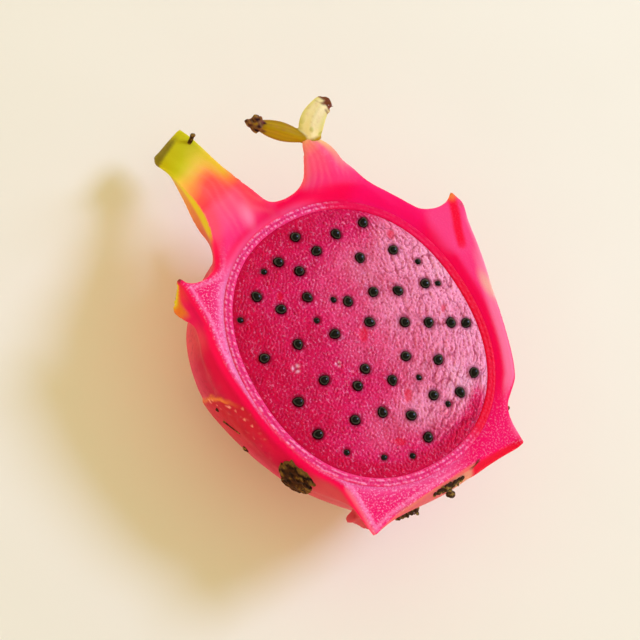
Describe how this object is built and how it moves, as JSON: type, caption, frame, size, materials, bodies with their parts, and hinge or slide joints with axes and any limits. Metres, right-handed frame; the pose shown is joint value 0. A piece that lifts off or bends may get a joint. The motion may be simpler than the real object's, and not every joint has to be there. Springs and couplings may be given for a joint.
{
  "type": "dragon fruit half",
  "caption": "Half of a red-fleshed dragon fruit cut lengthwise: scaly pink rind with long crown bracts, speckled flesh and black seeds, lying on its back.",
  "frame": {"origin": "centre of the small flat spot on the back that the half fruit rests on", "axes": "+Z square to the cut face and up; +Y along the fruit towards the crown and its long bracts; +X to the right, seen from above with the crown away"},
  "size_m": [0.0792, 0.1131, 0.0451],
  "materials": {
    "rind": "smooth waxy skin, deep pink, running to yellow-green at the tips of the scales and brown where they are dry; the cut edge is moist",
    "flesh": "wet, finely granular crimson-magenta pulp",
    "seed": "glossy black"
  },
  "bodies": {
    "root": {"rind": "rind", "flesh": "flesh", "seed_01": "seed", "seed_02": "seed", "seed_03": "seed", "seed_04": "seed", "seed_05": "seed", "seed_06": "seed", "seed_07": "seed", "seed_08": "seed", "seed_09": "seed", "seed_10": "seed", "seed_11": "seed", "seed_12": "seed", "seed_13": "seed", "seed_14": "seed", "seed_15": "seed", "seed_16": "seed", "seed_17": "seed", "seed_18": "seed", "seed_19": "seed", "seed_20": "seed", "seed_21": "seed", "seed_22": "seed", "seed_23": "seed", "seed_24": "seed", "seed_25": "seed", "seed_26": "seed", "seed_27": "seed", "seed_28": "seed", "seed_29": "seed", "seed_30": "seed", "seed_31": "seed", "seed_32": "seed", "seed_33": "seed", "seed_34": "seed", "seed_35": "seed", "seed_36": "seed", "seed_37": "seed", "seed_38": "seed", "seed_39": "seed", "seed_40": "seed", "seed_41": "seed", "seed_42": "seed", "seed_43": "seed", "seed_44": "seed", "seed_45": "seed", "seed_46": "seed", "seed_47": "seed", "seed_48": "seed", "seed_49": "seed"}
  },
  "joints": []
}
